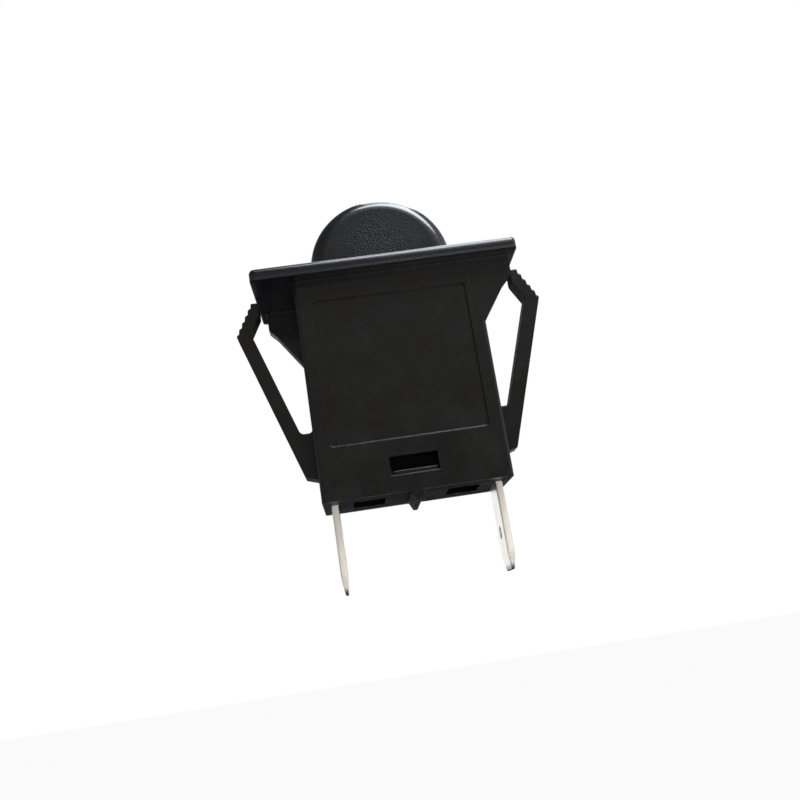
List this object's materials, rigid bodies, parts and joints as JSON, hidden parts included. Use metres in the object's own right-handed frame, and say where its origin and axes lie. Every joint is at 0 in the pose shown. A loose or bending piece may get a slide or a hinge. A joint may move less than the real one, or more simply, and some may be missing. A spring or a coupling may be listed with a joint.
{
  "type": "glove box light switch",
  "caption": "Snap-in push switch for a glove box lamp: half-round button on a flanged body with toothed snap arms and blade terminals.",
  "frame": {"origin": "centre of the panel cut-out, on the face of the flange that seats on the panel", "axes": "+Z out of the panel along the button's travel, X along the flange, -Y towards the wall with the recessed panel"},
  "size_m": [0.035, 0.015, 0.0447],
  "materials": {
    "housing_plastic": "black moulded plastic, satin",
    "button_plastic": "black moulded plastic, fine spark-eroded texture",
    "base_plastic": "black moulded plastic, satin",
    "tinned_brass": "bright tin plate over brass strip",
    "contact_silver": "silver rivet",
    "bridge_brass": "plain brass strip",
    "spring_steel": "drawn steel wire"
  },
  "bodies": {
    "housing_body": {"housing": "housing_plastic", "terminal_base": "base_plastic", "left_terminal": "tinned_brass", "right_terminal": "tinned_brass", "left_fixed_contact": "contact_silver", "right_fixed_contact": "contact_silver", "return_spring": "spring_steel"},
    "button_body": {"button": "button_plastic", "contact_bridge": "bridge_brass", "left_moving_contact": "contact_silver", "right_moving_contact": "contact_silver", "contact_spring": "spring_steel"}
  },
  "joints": [
    {"name": "button_slide", "type": "slide", "parent": "housing_body", "child": "button_body", "axis": [0, 0, -1], "range_m": [0, 0.0045], "stiffness_N_per_m": 400, "springref_m": -0.006, "deforming": ["return_spring"]}
  ]
}
